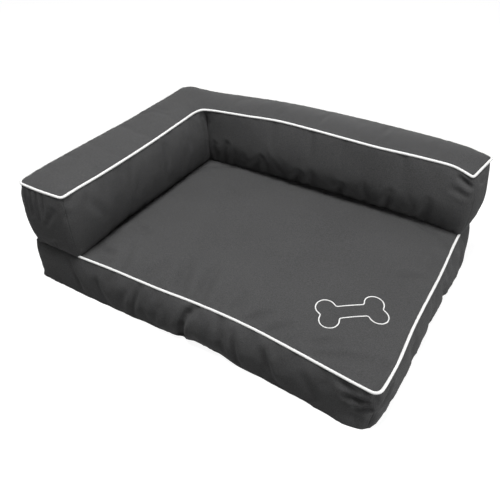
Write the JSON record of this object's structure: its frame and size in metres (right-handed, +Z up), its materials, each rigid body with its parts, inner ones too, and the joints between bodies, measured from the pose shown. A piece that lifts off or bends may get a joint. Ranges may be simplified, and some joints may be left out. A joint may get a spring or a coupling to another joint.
{
  "type": "dog sofa bed",
  "caption": "Soft L-shaped pet sofa: a boxed mattress with a piped bolster along its left and rear edges, in dark woven fabric.",
  "frame": {"origin": "middle of the footprint, on the floor under the base cloth", "axes": "+X along the back from the arm to the open right end, +Y from the open front to the back, +Z up"},
  "size_m": [0.9, 0.654, 0.2815],
  "materials": {
    "charcoal_fabric": "plain woven polyester with a soft sheen",
    "non_slip_base": "black cloth with small grip dots",
    "white_piping": "bias-cut cotton cover",
    "cotton_cord": "twisted cord",
    "foam": "cut polyurethane foam",
    "wadding": "polyester fibre",
    "zip_tape": "woven tape",
    "zip_coil": "nylon coil",
    "zip_metal": "dark enamelled zinc"
  },
  "bodies": {
    "bed": {"mattress_top_panel": "charcoal_fabric", "mattress_front_boxing": "charcoal_fabric", "mattress_right_boxing": "charcoal_fabric", "mattress_left_boxing": "charcoal_fabric", "mattress_rear_boxing_lower": "charcoal_fabric", "mattress_rear_boxing_upper": "charcoal_fabric", "mattress_bottom_panel": "non_slip_base", "mattress_piping": "white_piping", "mattress_piping_cord": "cotton_cord", "mattress_foam": "foam", "mattress_wadding": "wadding", "bolster_top_panel": "charcoal_fabric", "bolster_arm_inner_wall": "charcoal_fabric", "bolster_back_inner_wall": "charcoal_fabric", "bolster_arm_outer_wall": "charcoal_fabric", "bolster_rear_wall_lower": "charcoal_fabric", "bolster_rear_wall_upper": "charcoal_fabric", "bolster_arm_end_panel": "charcoal_fabric", "bolster_back_end_panel": "charcoal_fabric", "bolster_bottom_panel": "charcoal_fabric", "bolster_piping": "white_piping", "bolster_piping_cord": "cotton_cord", "bolster_arm_filling": "wadding", "bolster_back_filling": "wadding", "mattress_zip_tape_upper": "zip_tape", "mattress_zip_coil_upper": "zip_coil", "mattress_zip_tape_lower": "zip_tape", "mattress_zip_coil_lower": "zip_coil", "mattress_zip_stops": "zip_metal", "bolster_zip_tape_upper": "zip_tape", "bolster_zip_coil_upper": "zip_coil", "bolster_zip_tape_lower": "zip_tape", "bolster_zip_coil_lower": "zip_coil", "bolster_zip_stops": "zip_metal"},
    "bolster_zip_pull": {"bolster_zip_pull": "zip_metal"},
    "bolster_zip_slider": {"bolster_zip_slider": "zip_metal"},
    "mattress_zip_pull": {"mattress_zip_pull": "zip_metal"},
    "mattress_zip_slider": {"mattress_zip_slider": "zip_metal"}
  },
  "joints": [
    {"name": "mattress_zip_slide", "type": "slide", "parent": "bed", "child": "mattress_zip_slider", "axis": [1, 0, 0], "range_m": [0, 0.7683]},
    {"name": "mattress_pull_swing", "type": "hinge", "parent": "mattress_zip_slider", "child": "mattress_zip_pull", "pos_m": [-0.38415, 0.32508, 0.0545], "axis": [0, 0, 1], "range_deg": [0, 160]},
    {"name": "bolster_zip_slide", "type": "slide", "parent": "bed", "child": "bolster_zip_slider", "axis": [1, 0, 0], "range_m": [0, 0.6883]},
    {"name": "bolster_pull_swing", "type": "hinge", "parent": "bolster_zip_slider", "child": "bolster_zip_pull", "pos_m": [-0.34415, 0.32508, 0.191], "axis": [0, 0, 1], "range_deg": [0, 160]}
  ]
}
